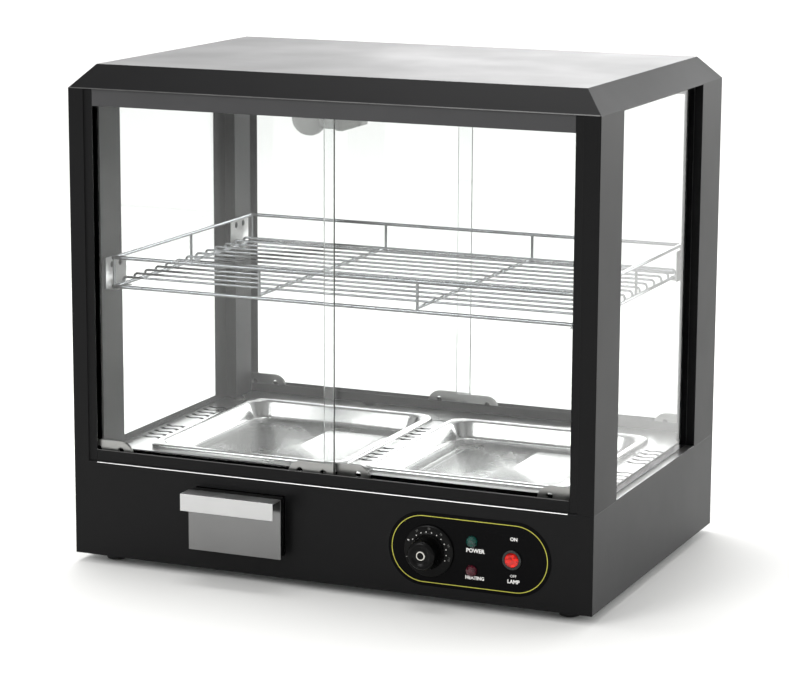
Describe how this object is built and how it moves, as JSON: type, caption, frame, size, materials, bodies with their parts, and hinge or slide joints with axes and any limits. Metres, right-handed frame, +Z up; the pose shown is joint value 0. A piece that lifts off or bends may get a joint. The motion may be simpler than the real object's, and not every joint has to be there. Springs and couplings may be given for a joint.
{
  "type": "heated display case",
  "caption": "Countertop glass-sided food warmer with sliding doors, wire shelf, lift-out pans, water drawer and dial thermostat.",
  "frame": {"origin": "middle of the whole part's footprint, on the plane that its feet stand on", "axes": "+X to the right as seen from the control side, -Y towards the control side, +Z up"},
  "size_m": [0.66, 0.4946, 0.6],
  "materials": {
    "gloss_black_steel": "gloss black powder coat",
    "zinc_coated_steel": "dull galvanised",
    "rubber": "moulded, matt",
    "stainless_sheet": "fine brushed",
    "stainless_pan": "pressed, satin",
    "stainless_shoe": "satin",
    "stainless_bracket": "satin",
    "stainless_drawer": "brushed",
    "chromed_wire": "bright plated",
    "clear_glass": "clear, polished edges",
    "frosted_glass": "frosted",
    "lamp_holder_plastic": "moulded",
    "control_plate_film": "printed film",
    "knob_plastic": "moulded, satin",
    "black_plastic": "moulded",
    "plain_steel": "turned",
    "copper_tube": "drawn",
    "green_lens": "tinted, moulded",
    "dark_red_lens": "tinted, moulded",
    "red_lens": "tinted, moulded",
    "heater_sheath": "oxidised sheath"
  },
  "bodies": {
    "root": {"base_front_panel": "gloss_black_steel", "base_rear_panel": "gloss_black_steel", "base_side_panel_right": "gloss_black_steel", "base_side_panel_left": "gloss_black_steel", "base_bottom_pan": "zinc_coated_steel", "feet": "rubber", "post_front_right": "gloss_black_steel", "post_front_left": "gloss_black_steel", "post_rear_right": "gloss_black_steel", "post_rear_left": "gloss_black_steel", "top_cap": "gloss_black_steel", "ceiling_panel": "stainless_sheet", "track_front_bottom": "gloss_black_steel", "track_rear_bottom": "gloss_black_steel", "track_front_top": "gloss_black_steel", "track_rear_top": "gloss_black_steel", "side_frame_right": "gloss_black_steel", "side_frame_left": "gloss_black_steel", "side_glass_right": "clear_glass", "side_glass_left": "clear_glass", "deck": "stainless_sheet", "shelf_brackets": "stainless_bracket", "bulb": "frosted_glass", "lamp_holder": "lamp_holder_plastic", "drawer_runners": "zinc_coated_steel", "control_plate": "control_plate_film", "thermostat": "zinc_coated_steel", "thermostat_sensor": "copper_tube", "indicator_green": "green_lens", "indicator_red": "dark_red_lens", "switch_housing": "black_plastic", "heater_element": "heater_sheath", "heater_clips": "zinc_coated_steel", "terminal_block": "black_plastic", "cable_gland": "black_plastic", "case_screws": "plain_steel"},
    "drawer": {"drawer_tray": "stainless_drawer", "drawer_face": "stainless_drawer"},
    "left_pan": {"pan_left": "stainless_pan"},
    "right_pan": {"pan_right": "stainless_pan"},
    "shelf": {"shelf_frame": "chromed_wire", "shelf_wires": "chromed_wire"},
    "thermostat_knob": {"knob": "knob_plastic", "thermostat_spindle": "plain_steel"},
    "switch_rocker": {"rocker": "red_lens"},
    "front_left_door": {"door_glass_front_left": "clear_glass", "door_shoes_front_left": "stainless_shoe"},
    "front_right_door": {"door_glass_front_right": "clear_glass", "door_shoes_front_right": "stainless_shoe"},
    "rear_left_door": {"door_glass_rear_left": "clear_glass", "door_shoes_rear_left": "stainless_shoe"},
    "rear_right_door": {"door_glass_rear_right": "clear_glass", "door_shoes_rear_right": "stainless_shoe"}
  },
  "joints": [
    {"name": "drawer_slide", "type": "slide", "parent": "root", "child": "drawer", "axis": [0, -1, 0], "range_m": [0, 0.15]},
    {"name": "left_pan_lift", "type": "slide", "parent": "root", "child": "left_pan", "axis": [0, 0, 1], "range_m": [0, 0.12]},
    {"name": "right_pan_lift", "type": "slide", "parent": "root", "child": "right_pan", "axis": [0, 0, 1], "range_m": [0, 0.12]},
    {"name": "shelf_lift", "type": "slide", "parent": "root", "child": "shelf", "axis": [0, 0, 1], "range_m": [0, 0.08]},
    {"name": "thermostat_turn", "type": "hinge", "parent": "root", "child": "thermostat_knob", "pos_m": [0.1326, -0.20975, 0.0655], "axis": [0, 1, 0], "range_deg": [0, 270]},
    {"name": "switch_rock", "type": "hinge", "parent": "root", "child": "switch_rocker", "pos_m": [0.234, -0.21065, 0.066], "axis": [-1, 0, 0], "range_deg": [0, 18]},
    {"name": "front_left_door_slide", "type": "slide", "parent": "root", "child": "front_left_door", "axis": [1, 0, 0], "range_m": [0, 0.3]},
    {"name": "front_right_door_slide", "type": "slide", "parent": "root", "child": "front_right_door", "axis": [-1, 0, 0], "range_m": [0, 0.3]},
    {"name": "rear_left_door_slide", "type": "slide", "parent": "root", "child": "rear_left_door", "axis": [1, 0, 0], "range_m": [0, 0.3]},
    {"name": "rear_right_door_slide", "type": "slide", "parent": "root", "child": "rear_right_door", "axis": [-1, 0, 0], "range_m": [0, 0.3]}
  ]
}
